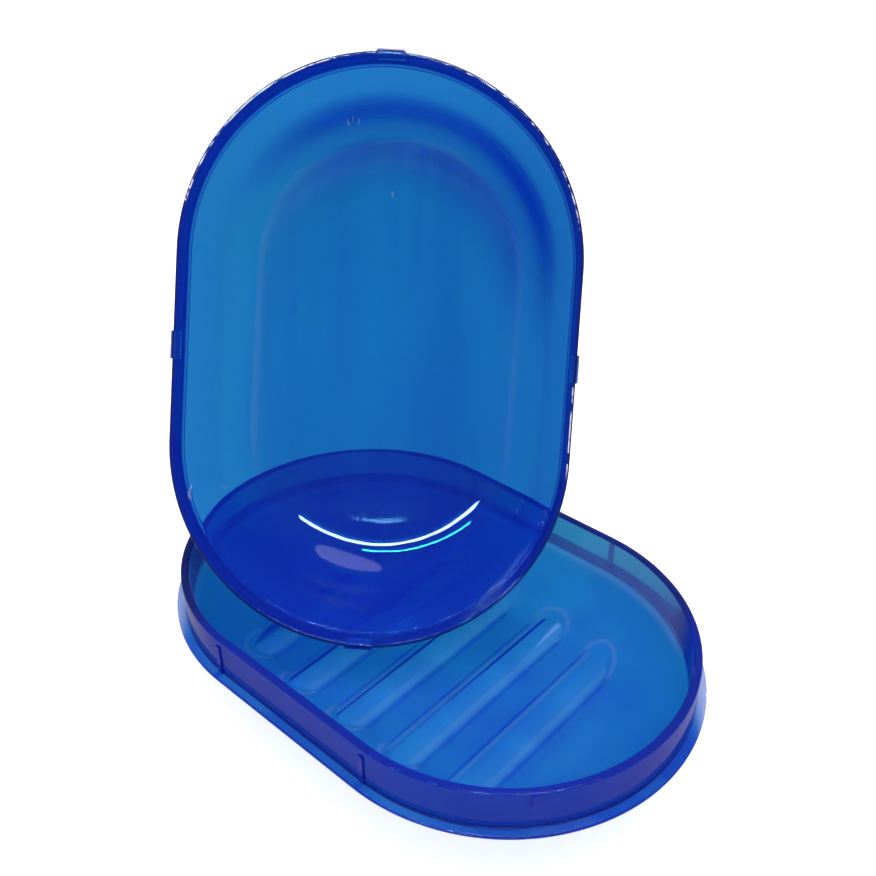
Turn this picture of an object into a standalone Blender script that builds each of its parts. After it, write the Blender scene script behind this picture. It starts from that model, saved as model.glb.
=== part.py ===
# Travel soap dish: a stadium-shaped base tray with floor ridges, and its deep domed
# lid, stood on its round end in the tray and leaned back against the tray's rim.
# Metres, +Z up. The tray's length runs along X. The origin is on the surface that the
# dish stands on, under the middle of the box that bounds both pieces.

import math

import bmesh
import bpy
from mathutils import Matrix, Vector
from mathutils.bvhtree import BVHTree

MM = 0.001

# Tray wall, the upright band that the closed lid slides over
WALL_LENGTH = 111.0 * MM
WALL_WIDTH = 74.4 * MM
WALL_THICKNESS = 1.6 * MM
WALL_HEIGHT = 8.1 * MM

# Tray body under the wall
SHOULDER_HEIGHT = 12.1 * MM
SHOULDER_EDGE = 0.8 * MM
BOWL_INSET = 2.0 * MM
FLOOR_THICKNESS = 1.3 * MM
FLAT_INSET = 17.7 * MM
SIDE_LEAN = math.radians(32.5)
SIDE_FILLET = 1.0 * MM

# Floor ridges, smooth waves running across the width, hollow underneath
RIDGE_COUNT = 5
RIDGE_PITCH = 13.8 * MM
RIDGE_WIDTH = 8.0 * MM
RIDGE_HEIGHT = 1.3 * MM
RIDGE_WALL = 1.1 * MM
RIDGE_SINK = 0.02 * MM
RIDGE_SWELL = 1.3

# Friction ribs and the moulding gate's mark on the outside of the wall
RIB_WIDTH = 1.0 * MM
RIB_PROUD = 0.4 * MM
RIB_DROP = 1.5 * MM
RIB_FOOT = 0.3 * MM
RIB_OFFSET = 0.7 * MM
GATE_WIDTH = 1.3 * MM
GATE_HEIGHT = 2.5 * MM
GATE_PROUD = 0.3 * MM
GATE_ANGLE = math.radians(-42.0)

# Lid skirt, the band that slides over the tray wall, thinner at its open edge
FIT_CLEARANCE = 0.6 * MM
SKIRT_THICKNESS = 1.2 * MM
SKIRT_EDGE = 0.8 * MM
SKIRT_DEPTH = 6.2 * MM
SHOULDER_LIFT = 0.4 * MM

# Lid dome above the skirt
STEP_WIDTH = 0.2 * MM
DOME_DEPTH = 33.2 * MM
DOME_FILLET = 15.0 * MM
DOME_ROUND = 16.3 * MM
DOME_DRAFT = math.radians(11.4)
DOME_WALL = 0.9 * MM
CROWN_THICKNESS = 1.6 * MM

# Grip pads on the skirt, one in the middle of each side and each end
PAD_WIDTH = 5.4 * MM
PAD_HEIGHT = 3.6 * MM
PAD_PROUD = 0.4 * MM
PAD_RISE = 0.1 * MM

# Small roundings
RIM_ROUND = 0.3 * MM
EDGE_ROUND = 0.3 * MM
SHOULDER_ROUND = 0.5 * MM

# How the lid stands in the tray: turned about the vertical, leaned back from upright,
# twisted about its opening's axis, and moved along the tray from its middle
LID_TURN = math.radians(40.7)
LID_LEAN = math.radians(27.8)
LID_TWIST = math.radians(3.2)
LID_SHIFT = -20.7 * MM
REST_GAP = 0.3 * MM

# Fineness of the meshes
QUARTER_STEPS = 15
ARC_TOLERANCE = 0.05 * MM
SIDE_ARC_STEP = math.radians(5.0)
RIDGE_STEPS = 18
STRAIGHT_ANGLE = math.radians(89.0)
SHARP_ANGLE = math.radians(30.0)
WELD_DISTANCE = 0.001 * MM
MIRROR_WELD = 0.005 * MM
PROBE_SPACING = 1.0 * MM
SEATING_PASSES = 8
OVERCUT = 2.0 * MM

# Sizes that follow from those above
SHOULDER_WIDTH = SKIRT_THICKNESS + FIT_CLEARANCE
HALF_WIDTH = WALL_WIDTH / 2 + SHOULDER_WIDTH
HALF_STRAIGHT = (WALL_LENGTH - WALL_WIDTH) / 2
RIM_HEIGHT = SHOULDER_HEIGHT + WALL_HEIGHT
WALL_INSIDE = SHOULDER_WIDTH + WALL_THICKNESS
GROOVE_HEIGHT = FLOOR_THICKNESS + RIDGE_HEIGHT - RIDGE_WALL


def clear_scene():
    """Take away whatever the file held before."""
    for obj in list(bpy.data.objects):
        bpy.data.objects.remove(obj, do_unlink=True)


def new_collection(name):
    """A collection of this name, linked to the scene."""
    collection = bpy.data.collections.new(name)
    bpy.context.scene.collection.children.link(collection)
    return collection


def blue_plastic(name, colour):
    """Clear tinted polystyrene: glossy, dielectric, letting light through."""
    material = bpy.data.materials.new(name)
    material.use_nodes = True
    shader = material.node_tree.nodes["Principled BSDF"]
    shader.inputs["Base Color"].default_value = (*colour, 1.0)
    shader.inputs["Roughness"].default_value = 0.08
    shader.inputs["Metallic"].default_value = 0.0
    shader.inputs["IOR"].default_value = 1.55
    shader.inputs["Transmission Weight"].default_value = 0.6
    return material


def rounded_outline(corners):
    """Points of an open outline given as (inset, height, radius) corners."""
    points = [Vector(corners[0][:2])]
    for before, corner, after in zip(corners, corners[1:], corners[2:]):
        here = Vector(corner[:2])
        back = (Vector(before[:2]) - here).normalized()
        ahead = (Vector(after[:2]) - here).normalized()
        half_angle = back.angle(ahead) / 2
        radius = corner[2]
        if radius == 0.0 or half_angle > STRAIGHT_ANGLE:
            points.append(here)
            continue
        reach = radius / math.tan(half_angle)
        centre = here + (back + ahead).normalized() * radius / math.sin(half_angle)
        first = here + back * reach - centre
        turn = first.angle_signed(here + ahead * reach - centre)
        arc_step = 2 * math.acos(1 - min(ARC_TOLERANCE / radius, 0.5))
        steps = max(2, math.ceil(abs(turn) / arc_step))
        for step in range(steps + 1):
            spoke = first.copy()
            spoke.rotate(Matrix.Rotation(-turn * step / steps, 2))
            points.append(centre + spoke)
    points.append(Vector(corners[-1][:2]))
    return points


def side_circle():
    """Centre and radius of the arc that the tray's underside follows from flat to lip."""
    rise = SHOULDER_HEIGHT - SHOULDER_EDGE
    run = FLAT_INSET - BOWL_INSET
    bend = 2 * (math.atan2(run, rise) - SIDE_LEAN)
    radius = math.hypot(run, rise) / (2 * math.sin(bend / 2))
    to_centre = Vector((math.cos(SIDE_LEAN), math.sin(SIDE_LEAN))) * radius
    centre = Vector((BOWL_INSET, rise)) + to_centre
    return centre, radius


def side_arc(shrink, floor, inset):
    """Points up the tray's curved side, from height floor to the given inset."""
    centre, radius = side_circle()
    radius -= shrink
    lowest = math.asin((centre.y - floor) / radius)
    highest = math.acos((centre.x - inset) / radius)
    steps = max(4, math.ceil((lowest - highest) / SIDE_ARC_STEP))
    points = []
    for step in range(steps + 1):
        angle = lowest + (highest - lowest) * step / steps
        spoke = Vector((math.cos(angle), math.sin(angle))) * radius
        points.append(centre - spoke)
    return points


def stadium_solid(name, outline, collection):
    """Sweep an outline of (inset, height) points round the stadium, as a mirrored quarter.

    The outline starts and ends at the greatest inset, over the middle of the plan.
    """
    mesh = bpy.data.meshes.new(name)
    work = bmesh.new()
    chain = []
    for inset, height in outline:
        chain.append(work.verts.new((HALF_STRAIGHT + HALF_WIDTH - inset, 0.0, height)))
    edges = [work.edges.new(pair) for pair in zip(chain, chain[1:])]
    spun = bmesh.ops.spin(
        work, geom=chain + edges, cent=(HALF_STRAIGHT, 0.0, 0.0), axis=(0.0, 0.0, 1.0),
        angle=math.pi / 2, steps=QUARTER_STEPS,
    )
    last_edges = [item for item in spun["geom_last"] if isinstance(item, bmesh.types.BMEdge)]
    pulled = bmesh.ops.extrude_edge_only(work, edges=last_edges)
    pulled_verts = [item for item in pulled["geom"] if isinstance(item, bmesh.types.BMVert)]
    bmesh.ops.translate(work, verts=pulled_verts, vec=(-HALF_STRAIGHT, 0.0, 0.0))
    bmesh.ops.remove_doubles(work, verts=work.verts, dist=WELD_DISTANCE)
    work.to_mesh(mesh)
    work.free()
    obj = bpy.data.objects.new(name, mesh)
    collection.objects.link(obj)
    mirror = obj.modifiers.new("Mirror", "MIRROR")
    mirror.use_axis = (True, True, False)
    mirror.merge_threshold = MIRROR_WELD
    return obj


def block(name, size, matrix, collection):
    """A box of this size, centred on the matrix's origin and lined up with its axes."""
    mesh = bpy.data.meshes.new(name)
    work = bmesh.new()
    bmesh.ops.create_cube(work, size=1.0)
    bmesh.ops.scale(work, verts=work.verts, vec=size)
    work.to_mesh(mesh)
    work.free()
    obj = bpy.data.objects.new(name, mesh)
    obj.matrix_world = matrix
    collection.objects.link(obj)
    return obj


def wave_bar(name, across, bottom, foot, rise, length, collection):
    """A bar along Y whose top swells from the foot height as one smooth wave."""
    mesh = bpy.data.meshes.new(name)
    work = bmesh.new()
    half = RIDGE_WIDTH / 2
    section = [(-half, bottom), (half, bottom)]
    for step in range(RIDGE_STEPS + 1):
        share = 1 - 2 * step / RIDGE_STEPS
        swell = (1 - share ** 2) ** RIDGE_SWELL
        section.append((half * share, foot - RIDGE_SINK + (rise + RIDGE_SINK) * swell))
    corners = [work.verts.new((across + x, -length / 2, z)) for x, z in section]
    end = work.faces.new(corners)
    pulled = bmesh.ops.extrude_face_region(work, geom=[end])
    pulled_verts = [item for item in pulled["geom"] if isinstance(item, bmesh.types.BMVert)]
    bmesh.ops.translate(work, verts=pulled_verts, vec=(0.0, length, 0.0))
    bmesh.ops.recalc_face_normals(work, faces=work.faces)
    work.to_mesh(mesh)
    work.free()
    obj = bpy.data.objects.new(name, mesh)
    collection.objects.link(obj)
    return obj


def combine(obj, tool, operation):
    """Cut a tool from an object, or join it on."""
    modifier = obj.modifiers.new(tool.name, "BOOLEAN")
    modifier.operation = operation
    modifier.solver = "EXACT"
    modifier.object = tool


def hide_tools(collection):
    """Keep the cutting and joining shapes out of the finished model."""
    for obj in collection.objects:
        obj.hide_render = True
        obj.display_type = "WIRE"


def shade(obj):
    """Round faces smooth, true corners sharp."""
    obj.data.shade_smooth()
    obj.data.set_sharp_from_angle(angle=SHARP_ANGLE)


def tray_outside():
    """Outline of the tray as if it were filled up to its rim."""
    middle = HALF_WIDTH
    points = [Vector((middle, 0.0))]
    points += side_arc(0.0, 0.0, BOWL_INSET)
    rim = rounded_outline([
        (BOWL_INSET, SHOULDER_HEIGHT - SHOULDER_EDGE, 0.0),
        (0.0, SHOULDER_HEIGHT - SHOULDER_EDGE, EDGE_ROUND),
        (0.0, SHOULDER_HEIGHT, EDGE_ROUND),
        (SHOULDER_WIDTH, SHOULDER_HEIGHT, EDGE_ROUND),
        (SHOULDER_WIDTH, RIM_HEIGHT, RIM_ROUND),
        (middle, RIM_HEIGHT, 0.0),
    ])
    return points + rim[1:]


def tray_inside():
    """Outline of the space inside the tray, from above the rim down to the floor."""
    middle = HALF_WIDTH
    side = side_arc(FLOOR_THICKNESS, FLOOR_THICKNESS, WALL_INSIDE)
    meeting = side[-1]
    below = side[-2]
    mouth = [
        (middle, RIM_HEIGHT + OVERCUT, 0.0),
        (WALL_INSIDE - RIM_ROUND, RIM_HEIGHT + OVERCUT, 0.0),
        (WALL_INSIDE - RIM_ROUND, RIM_HEIGHT, 0.0),
        (WALL_INSIDE, RIM_HEIGHT - RIM_ROUND, 0.0),
        (meeting.x, meeting.y, SIDE_FILLET),
        (below.x, below.y, 0.0),
    ]
    points = rounded_outline(mouth)[:-1]
    fillet_end = points[-1].y
    points += [point for point in reversed(side) if point.y < fillet_end - RIM_ROUND]
    return points + [Vector((middle, FLOOR_THICKNESS))]


def lid_outline():
    """Outline of the lid, opening at height 0 and dome upwards, from outside to inside."""
    middle = HALF_WIDTH
    top = DOME_DEPTH + CROWN_THICKNESS
    slope = math.tan(DOME_DRAFT)
    inner_foot = SKIRT_THICKNESS + STEP_WIDTH
    outer_foot = inner_foot - DOME_WALL / math.cos(DOME_DRAFT)
    shoulder = SKIRT_DEPTH + SHOULDER_LIFT
    return rounded_outline([
        (middle, top, 0.0),
        (outer_foot + (top - SKIRT_DEPTH) * slope, top, DOME_ROUND),
        (outer_foot + (shoulder - SKIRT_DEPTH) * slope, shoulder, EDGE_ROUND),
        (0.0, shoulder, SHOULDER_ROUND),
        (0.0, 0.0, RIM_ROUND),
        (SKIRT_EDGE, 0.0, EDGE_ROUND),
        (SKIRT_THICKNESS, SKIRT_DEPTH, 0.0),
        (inner_foot, SKIRT_DEPTH, 0.0),
        (inner_foot + (DOME_DEPTH - SKIRT_DEPTH) * slope, DOME_DEPTH, DOME_FILLET),
        (middle, DOME_DEPTH, 0.0),
    ])


def wall_place(angle, height, inset):
    """A frame on the stadium's end, at a plan angle, its X axis pointing outwards."""
    radius = HALF_WIDTH - inset
    spot = Vector((HALF_STRAIGHT + radius * math.cos(angle), radius * math.sin(angle), height))
    return Matrix.Translation(spot) @ Matrix.Rotation(angle, 4, "Z")


def add_wall_marks(tray, tools):
    """Four friction ribs and the gate mark, each a small block let into the wall."""
    depth = WALL_THICKNESS / 2
    height = WALL_HEIGHT - RIB_DROP + RIB_FOOT
    middle = SHOULDER_HEIGHT - RIB_FOOT + height / 2
    along = HALF_STRAIGHT + RIB_OFFSET
    across = WALL_WIDTH / 2 + (RIB_PROUD - depth) / 2
    for side_x in (-1, 1):
        for side_y in (-1, 1):
            place = Matrix.Translation((side_x * along, side_y * across, middle))
            size = (RIB_WIDTH, depth + RIB_PROUD, height)
            combine(tray, block("rib", size, place, tools), "UNION")
    place = wall_place(GATE_ANGLE, RIM_HEIGHT - GATE_HEIGHT / 2 - RIM_ROUND, SHOULDER_WIDTH)
    place = place @ Matrix.Translation(((GATE_PROUD - depth) / 2, 0.0, 0.0))
    size = (depth + GATE_PROUD, GATE_WIDTH, GATE_HEIGHT)
    combine(tray, block("gate_mark", size, place, tools), "UNION")


def build_tray(parts, tools):
    """The base tray: outer form, less its inside, with hollow ridges across its floor."""
    tray = stadium_solid("base_tray", tray_outside(), parts)
    inside = stadium_solid("tray_inside", tray_inside(), tools)
    for index in range(RIDGE_COUNT):
        across = (index - (RIDGE_COUNT - 1) / 2) * RIDGE_PITCH
        ridge = wave_bar("ridge", across, 0.0, FLOOR_THICKNESS, RIDGE_HEIGHT, WALL_WIDTH, tools)
        combine(inside, ridge, "DIFFERENCE")
        groove = wave_bar(
            "groove", across, -OVERCUT, 0.0, GROOVE_HEIGHT, WALL_WIDTH + OVERCUT, tools,
        )
        combine(tray, groove, "DIFFERENCE")
    combine(tray, inside, "DIFFERENCE")
    add_wall_marks(tray, tools)
    shade(tray)
    tray.data.materials.append(blue_plastic("tray_plastic", (0.01, 0.13, 0.52)))
    return tray


def build_lid(parts, tools):
    """The lid in its closed attitude, its opening at height 0."""
    lid = stadium_solid("lid", lid_outline(), parts)
    depth = SKIRT_THICKNESS / 2
    size = (depth + PAD_PROUD, PAD_WIDTH, PAD_HEIGHT)
    centre = (PAD_PROUD - depth) / 2
    for quarter in range(4):
        reach = HALF_WIDTH + centre
        if quarter % 2 == 0:
            reach += HALF_STRAIGHT
        turn = Matrix.Rotation(quarter * math.pi / 2, 4, "Z")
        place = turn @ Matrix.Translation((reach, 0.0, PAD_RISE + PAD_HEIGHT / 2))
        combine(lid, block("grip_pad", size, place, tools), "UNION")
    shade(lid)
    lid.data.materials.append(blue_plastic("lid_plastic", (0.005, 0.11, 0.5)))
    return lid


def world_surface(obj):
    """An object's finished surface in world space: a search tree, and points along its edges."""
    graph = bpy.context.evaluated_depsgraph_get()
    finished = obj.evaluated_get(graph)
    mesh = finished.to_mesh()
    vertices = [finished.matrix_world @ vertex.co for vertex in mesh.vertices]
    tree = BVHTree.FromPolygons(vertices, [tuple(polygon.vertices) for polygon in mesh.polygons])
    probes = list(vertices)
    for edge in mesh.edges:
        start = vertices[edge.vertices[0]]
        end = vertices[edge.vertices[1]]
        count = math.ceil((end - start).length / PROBE_SPACING)
        probes += [start.lerp(end, step / count) for step in range(1, count)]
    finished.to_mesh_clear()
    return tree, probes


def travel_to_touch(moving, fixed, direction):
    """How far one surface can move along a direction before it meets the other."""
    moving_tree, moving_probes = moving
    fixed_tree, fixed_probes = fixed
    travel = math.inf
    for tree, probes, way in (
        (fixed_tree, moving_probes, direction), (moving_tree, fixed_probes, -direction),
    ):
        for probe in probes:
            distance = tree.ray_cast(probe, way)[3]
            if distance is not None:
                travel = min(travel, distance)
    return travel


def seat_lid(seat, lid, tray):
    """Let the lid down and back in turn until it is just short of the ridges and the rim."""
    upright = Matrix(((0, 1, 0), (0, 0, 1), (1, 0, 0))).to_4x4()
    turn = Matrix.Rotation(LID_TURN, 4, "Z")
    lean = Matrix.Rotation(-LID_LEAN, 4, "X")
    twist = Matrix.Rotation(LID_TWIST, 4, "Y")
    start = Vector((LID_SHIFT, 0.0, RIM_HEIGHT + WALL_LENGTH))
    seat.matrix_world = Matrix.Translation(start) @ turn @ lean @ twist @ upright
    fixed = world_surface(tray)
    for direction in (Vector((0, 0, -1)), Vector((0, 1, 0))) * SEATING_PASSES:
        bpy.context.view_layer.update()
        travel = travel_to_touch(world_surface(lid), fixed, direction)
        seat.location += direction * (travel - REST_GAP)
    bpy.context.view_layer.update()


def centre_on_origin(root, objects):
    """Move the root so that the middle of the objects' bounding box stands over the origin."""
    corners = []
    for obj in objects:
        corners += world_surface(obj)[1]
    middle_x = (min(point.x for point in corners) + max(point.x for point in corners)) / 2
    middle_y = (min(point.y for point in corners) + max(point.y for point in corners)) / 2
    root.location = (-middle_x, -middle_y, 0.0)
    bpy.context.view_layer.update()


def new_empty(name, collection):
    """A plain handle to parent things to."""
    empty = bpy.data.objects.new(name, None)
    collection.objects.link(empty)
    return empty


def main():
    """Build both pieces, seat the lid and centre the whole."""
    clear_scene()
    parts = new_collection("soap_dish")
    tray_tools = new_collection("tray_cutters")
    lid_tools = new_collection("lid_cutters")
    root = new_empty("soap_dish_root", parts)
    seat = new_empty("lid_seat", parts)
    seat.parent = root
    tray = build_tray(parts, tray_tools)
    lid = build_lid(parts, lid_tools)
    for obj in [tray, *tray_tools.objects]:
        obj.parent = root
    for obj in [lid, *lid_tools.objects]:
        obj.parent = seat
    hide_tools(tray_tools)
    hide_tools(lid_tools)
    seat_lid(seat, lid, tray)
    centre_on_origin(root, (tray, lid))


main()
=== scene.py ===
# The looks of the travel soap dish: two clear blue plastic mouldings on a pale floor.

import math

import bmesh
import bpy
from mathutils import Matrix, Vector


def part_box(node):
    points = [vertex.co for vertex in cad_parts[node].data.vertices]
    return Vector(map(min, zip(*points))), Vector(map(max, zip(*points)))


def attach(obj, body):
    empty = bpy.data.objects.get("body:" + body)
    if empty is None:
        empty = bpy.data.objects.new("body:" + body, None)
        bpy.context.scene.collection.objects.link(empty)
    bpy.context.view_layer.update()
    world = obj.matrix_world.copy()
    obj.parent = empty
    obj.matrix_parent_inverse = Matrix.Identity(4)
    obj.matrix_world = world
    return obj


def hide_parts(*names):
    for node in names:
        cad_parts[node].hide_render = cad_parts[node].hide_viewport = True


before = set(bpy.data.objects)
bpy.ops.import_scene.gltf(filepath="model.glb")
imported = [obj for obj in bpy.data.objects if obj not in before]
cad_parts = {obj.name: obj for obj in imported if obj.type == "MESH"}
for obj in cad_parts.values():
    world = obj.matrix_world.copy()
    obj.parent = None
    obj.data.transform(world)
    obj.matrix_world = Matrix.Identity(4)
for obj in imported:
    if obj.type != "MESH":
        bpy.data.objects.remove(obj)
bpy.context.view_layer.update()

MM = 0.001

# Sizes of the tray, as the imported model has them
WALL_LENGTH = 111.0 * MM
WALL_WIDTH = 74.4 * MM
WALL_THICKNESS = 1.6 * MM
WALL_HEIGHT = 8.1 * MM
SHOULDER_HEIGHT = 12.1 * MM
SHOULDER_EDGE = 0.8 * MM
BOWL_INSET = 2.0 * MM
SHOULDER_WIDTH = 1.8 * MM
FLOOR_THICKNESS = 1.3 * MM
FLAT_INSET = 17.7 * MM
SIDE_LEAN = math.radians(32.5)
SIDE_FILLET = 1.0 * MM
RIDGE_COUNT = 5
RIDGE_PITCH = 13.8 * MM
RIDGE_WIDTH = 8.0 * MM
RIDGE_HEIGHT = 1.3 * MM
RIDGE_WALL = 1.1 * MM
RIDGE_SINK = 0.02 * MM
RIDGE_SWELL = 1.3
RIB_WIDTH = 1.0 * MM
RIB_PROUD = 0.4 * MM
RIB_DROP = 1.5 * MM
RIB_FOOT = 0.3 * MM
RIB_OFFSET = 0.7 * MM
GATE_WIDTH = 1.3 * MM
GATE_HEIGHT = 2.5 * MM
GATE_PROUD = 0.3 * MM
GATE_ANGLE = math.radians(-42.0)

# Sizes of the lid
SKIRT_THICKNESS = 1.2 * MM
SKIRT_EDGE = 0.8 * MM
SKIRT_DEPTH = 6.2 * MM
SHOULDER_LIFT = 0.4 * MM
STEP_WIDTH = 0.2 * MM
DOME_DEPTH = 33.2 * MM
DOME_FILLET = 15.0 * MM
DOME_ROUND = 16.3 * MM
DOME_DRAFT = math.radians(11.4)
DOME_WALL = 0.9 * MM
CROWN_THICKNESS = 1.6 * MM
PAD_WIDTH = 5.4 * MM
PAD_HEIGHT = 3.6 * MM
PAD_PROUD = 0.4 * MM
PAD_RISE = 0.1 * MM
RIM_ROUND = 0.3 * MM
EDGE_ROUND = 0.3 * MM
STEP_ROUND = 0.15 * MM
SHOULDER_ROUND = 0.5 * MM

# The lid's attitude as it stands in the tray
LID_TURN = math.radians(40.7)
LID_LEAN = math.radians(27.8)
LID_TWIST = math.radians(3.2)
LID_UPRIGHT = Matrix(((0, 1, 0), (0, 0, 1), (1, 0, 0))).to_4x4()
LID_ATTITUDE = (
    Matrix.Rotation(LID_TURN, 4, "Z") @ Matrix.Rotation(-LID_LEAN, 4, "X")
    @ Matrix.Rotation(LID_TWIST, 4, "Y") @ LID_UPRIGHT
)

# Fineness of the surfaces
QUARTER_STEPS = 48
ARC_TOLERANCE = 0.006 * MM
SIDE_ARC_STEP = math.radians(1.5)
RIDGE_STEPS = 72
OVERCUT = 2.0 * MM
FEWEST_ARC_STEPS = 3
STRAIGHT_CORNER = math.radians(89.0)
SHARP_ANGLE = math.radians(30.0)
WELD_DISTANCE = 0.0005 * MM

# What follows from the sizes
HALF_WIDTH = WALL_WIDTH / 2 + SHOULDER_WIDTH
HALF_STRAIGHT = (WALL_LENGTH - WALL_WIDTH) / 2
RIM_HEIGHT = SHOULDER_HEIGHT + WALL_HEIGHT
WALL_INSIDE = SHOULDER_WIDTH + WALL_THICKNESS
GROOVE_HEIGHT = FLOOR_THICKNESS + RIDGE_HEIGHT - RIDGE_WALL

tray_low, tray_high = (Vector(corner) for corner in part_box("base_tray"))
TRAY_MIDDLE = Vector(((tray_low.x + tray_high.x) / 2, (tray_low.y + tray_high.y) / 2, 0.0))


def rounded_outline(corners):
    """Points of an open outline given as (inset, height, radius) corners."""
    points = [Vector(corners[0][:2])]
    for before, corner, after in zip(corners, corners[1:], corners[2:]):
        here = Vector(corner[:2])
        back = (Vector(before[:2]) - here).normalized()
        ahead = (Vector(after[:2]) - here).normalized()
        half_angle = back.angle(ahead) / 2
        radius = corner[2]
        if radius == 0.0 or half_angle > STRAIGHT_CORNER:
            points.append(here)
            continue
        reach = radius / math.tan(half_angle)
        centre = here + (back + ahead).normalized() * radius / math.sin(half_angle)
        first = here + back * reach - centre
        turn = first.angle_signed(here + ahead * reach - centre)
        arc_step = 2 * math.acos(1 - ARC_TOLERANCE / radius)
        steps = max(FEWEST_ARC_STEPS, math.ceil(abs(turn) / arc_step))
        for step in range(steps + 1):
            spoke = first.copy()
            spoke.rotate(Matrix.Rotation(-turn * step / steps, 2))
            points.append(centre + spoke)
    points.append(Vector(corners[-1][:2]))
    return points


def side_arc(shrink, floor, inset):
    """Points up the tray's curved side, from height floor to the given inset."""
    rise = SHOULDER_HEIGHT - SHOULDER_EDGE
    run = FLAT_INSET - BOWL_INSET
    bend = 2 * (math.atan2(run, rise) - SIDE_LEAN)
    radius = math.hypot(run, rise) / (2 * math.sin(bend / 2))
    to_centre = Vector((math.cos(SIDE_LEAN), math.sin(SIDE_LEAN))) * radius
    centre = Vector((BOWL_INSET, rise)) + to_centre
    radius -= shrink
    lowest = math.asin((centre.y - floor) / radius)
    highest = math.acos((centre.x - inset) / radius)
    steps = math.ceil((lowest - highest) / SIDE_ARC_STEP)
    points = []
    for step in range(steps + 1):
        angle = lowest + (highest - lowest) * step / steps
        points.append(centre - Vector((math.cos(angle), math.sin(angle))) * radius)
    return points


def stadium_solid(name, outline):
    """Sweep an outline of (inset, height) points round the stadium, as a mirrored quarter."""
    mesh = bpy.data.meshes.new(name)
    work = bmesh.new()
    chain = []
    for inset, height in outline:
        chain.append(work.verts.new((HALF_STRAIGHT + HALF_WIDTH - inset, 0.0, height)))
    edges = [work.edges.new(pair) for pair in zip(chain, chain[1:])]
    spun = bmesh.ops.spin(
        work, geom=chain + edges, cent=(HALF_STRAIGHT, 0.0, 0.0), axis=(0.0, 0.0, 1.0),
        angle=math.pi / 2, steps=QUARTER_STEPS,
    )
    last_edges = [item for item in spun["geom_last"] if isinstance(item, bmesh.types.BMEdge)]
    pulled = bmesh.ops.extrude_edge_only(work, edges=last_edges)
    pulled_verts = [item for item in pulled["geom"] if isinstance(item, bmesh.types.BMVert)]
    bmesh.ops.translate(work, verts=pulled_verts, vec=(-HALF_STRAIGHT, 0.0, 0.0))
    bmesh.ops.remove_doubles(work, verts=work.verts, dist=WELD_DISTANCE)
    work.to_mesh(mesh)
    work.free()
    obj = bpy.data.objects.new(name, mesh)
    bpy.context.scene.collection.objects.link(obj)
    mirror = obj.modifiers.new("Mirror", "MIRROR")
    mirror.use_axis = (True, True, False)
    mirror.merge_threshold = WELD_DISTANCE
    return obj


def block(size, matrix):
    """A box of this size, centred on the matrix's origin and lined up with its axes."""
    mesh = bpy.data.meshes.new("block")
    work = bmesh.new()
    bmesh.ops.create_cube(work, size=1.0)
    bmesh.ops.scale(work, verts=work.verts, vec=size)
    work.to_mesh(mesh)
    work.free()
    obj = bpy.data.objects.new("block", mesh)
    obj.matrix_world = matrix
    bpy.context.scene.collection.objects.link(obj)
    return obj


def wave_bar(across, bottom, foot, rise, length):
    """A bar along Y whose top swells from the foot height as one smooth wave."""
    mesh = bpy.data.meshes.new("bar")
    work = bmesh.new()
    half = RIDGE_WIDTH / 2
    section = [(-half, bottom), (half, bottom)]
    for step in range(RIDGE_STEPS + 1):
        share = 1 - 2 * step / RIDGE_STEPS
        swell = (1 - share ** 2) ** RIDGE_SWELL
        section.append((half * share, foot - RIDGE_SINK + (rise + RIDGE_SINK) * swell))
    corners = [work.verts.new((across + x, -length / 2, z)) for x, z in section]
    end = work.faces.new(corners)
    pulled = bmesh.ops.extrude_face_region(work, geom=[end])
    pulled_verts = [item for item in pulled["geom"] if isinstance(item, bmesh.types.BMVert)]
    bmesh.ops.translate(work, verts=pulled_verts, vec=(0.0, length, 0.0))
    bmesh.ops.recalc_face_normals(work, faces=work.faces)
    work.to_mesh(mesh)
    work.free()
    obj = bpy.data.objects.new("bar", mesh)
    bpy.context.scene.collection.objects.link(obj)
    return obj


def combine(obj, tool, operation):
    """Cut a tool from an object, or join it on."""
    modifier = obj.modifiers.new("Boolean", "BOOLEAN")
    modifier.operation = operation
    modifier.solver = "EXACT"
    modifier.object = tool


def settle(obj, tools):
    """Keep the finished surface as the object's own mesh and take its tools away."""
    bpy.context.view_layer.update()
    graph = bpy.context.evaluated_depsgraph_get()
    mesh = bpy.data.meshes.new_from_object(obj.evaluated_get(graph))
    obj.modifiers.clear()
    obj.data = mesh
    mesh.shade_smooth()
    mesh.set_sharp_from_angle(angle=SHARP_ANGLE)
    for tool in tools:
        bpy.data.objects.remove(tool, do_unlink=True)


def tray_outside():
    """Outline of the tray as if it were filled up to its rim."""
    rim = rounded_outline([
        (BOWL_INSET, SHOULDER_HEIGHT - SHOULDER_EDGE, 0.0),
        (0.0, SHOULDER_HEIGHT - SHOULDER_EDGE, EDGE_ROUND),
        (0.0, SHOULDER_HEIGHT, EDGE_ROUND),
        (SHOULDER_WIDTH, SHOULDER_HEIGHT, EDGE_ROUND),
        (SHOULDER_WIDTH, RIM_HEIGHT, RIM_ROUND),
        (HALF_WIDTH, RIM_HEIGHT, 0.0),
    ])
    return [Vector((HALF_WIDTH, 0.0))] + side_arc(0.0, 0.0, BOWL_INSET) + rim[1:]


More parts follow.
